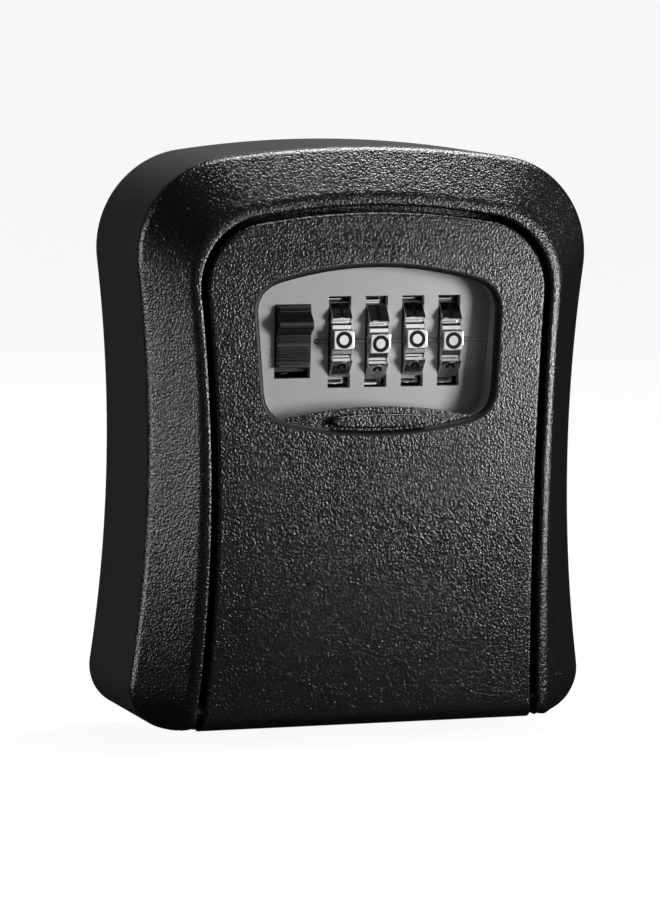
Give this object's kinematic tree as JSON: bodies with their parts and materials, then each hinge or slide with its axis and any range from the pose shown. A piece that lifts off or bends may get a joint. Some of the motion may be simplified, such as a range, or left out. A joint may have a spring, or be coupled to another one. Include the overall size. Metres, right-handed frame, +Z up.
{
  "type": "key lock box",
  "caption": "Wall-mounted key lock box with a waisted case, a bottom-hinged door, code dials behind a sliding dust shutter, an opening slider and a bolt.",
  "frame": {"origin": "centre of the flat wall face at the back of the case, halfway up its height", "axes": "+Y into the wall, +Z up, +X to the right of someone facing the box; the front faces -Y"},
  "size_m": [0.0978, 0.0404, 0.118],
  "materials": {
    "smooth_black": "die-cast alloy, smooth matte black paint",
    "grained_black": "die-cast alloy, fine-grained satin black powder coat",
    "plate_grey": "moulded plastic with satin silver-grey paint",
    "gloss_black": "moulded plastic, semi-gloss black",
    "chrome": "bright chrome plate with black filled digits",
    "matte_black": "moulded plastic, fine matte black",
    "steel": "plain zinc-plated steel"
  },
  "bodies": {
    "housing": {"rear_case": "smooth_black", "front_frame": "grained_black", "hinge_pin": "steel", "case_screw_1": "steel", "case_screw_2": "steel", "case_screw_3": "steel", "case_screw_4": "steel"},
    "door": {"door_panel": "grained_black", "dial_plate": "plate_grey", "plate_screw_1": "steel", "plate_screw_2": "steel", "plate_screw_3": "steel", "plate_screw_4": "steel", "dial_axle": "steel", "axle_clip_1": "steel", "axle_clip_2": "steel", "detent_spring": "steel", "slider_spring": "steel", "bolt_spring": "steel", "lock_cover": "matte_black", "cover_screw_1": "steel", "cover_screw_2": "steel", "cover_screw_3": "steel", "cover_screw_4": "steel"},
    "dial_wheel_1": {"dial_1": "chrome", "code_cam_1": "steel"},
    "dial_wheel_2": {"dial_2": "chrome", "code_cam_2": "steel"},
    "dial_wheel_3": {"dial_3": "chrome", "code_cam_3": "steel"},
    "dial_wheel_4": {"dial_4": "chrome", "code_cam_4": "steel"},
    "slider": {"opening_slider": "gloss_black", "locking_bar": "steel"},
    "bolt": {"door_bolt": "steel"},
    "reset_lever": {"reset_lever": "gloss_black"},
    "shutter": {"dust_shutter": "grained_black"}
  },
  "joints": [
    {"name": "door_hinge", "type": "hinge", "parent": "housing", "child": "door", "pos_m": [0, -0.0329, -0.055], "axis": [1, 0, 0], "range_deg": [0, 90]},
    {"name": "dial_1_turn", "type": "hinge", "parent": "door", "child": "dial_wheel_1", "pos_m": [0, -0.026, 0.0198], "axis": [1, 0, 0], "continuous": true},
    {"name": "dial_2_turn", "type": "hinge", "parent": "door", "child": "dial_wheel_2", "pos_m": [0, -0.026, 0.0198], "axis": [1, 0, 0], "continuous": true},
    {"name": "dial_3_turn", "type": "hinge", "parent": "door", "child": "dial_wheel_3", "pos_m": [0, -0.026, 0.0198], "axis": [1, 0, 0], "continuous": true},
    {"name": "dial_4_turn", "type": "hinge", "parent": "door", "child": "dial_wheel_4", "pos_m": [0, -0.026, 0.0198], "axis": [1, 0, 0], "continuous": true},
    {"name": "slider_slide", "type": "slide", "parent": "door", "child": "slider", "axis": [0, 0, -1], "range_m": [0, 0.002], "stiffness_N_per_m": 300, "springref_m": -0.003, "deforming": ["slider_spring"]},
    {"name": "bolt_slide", "type": "slide", "parent": "door", "child": "bolt", "axis": [0, 0, -1], "range_m": [0, 0.002], "stiffness_N_per_m": 200, "springref_m": -0.003, "deforming": ["bolt_spring"]},
    {"name": "reset_lever_slide", "type": "slide", "parent": "door", "child": "reset_lever", "axis": [1, 0, 0], "range_m": [0, 0.005]},
    {"name": "shutter_slide", "type": "hinge", "parent": "door", "child": "shutter", "pos_m": [0, 0.3327, -0.0073], "axis": [-1, 0, 0], "range_deg": [0, 4.45]}
  ],
  "couplings": [
    {"joint": "bolt_slide", "follows": "slider_slide", "ratio": 1}
  ]
}
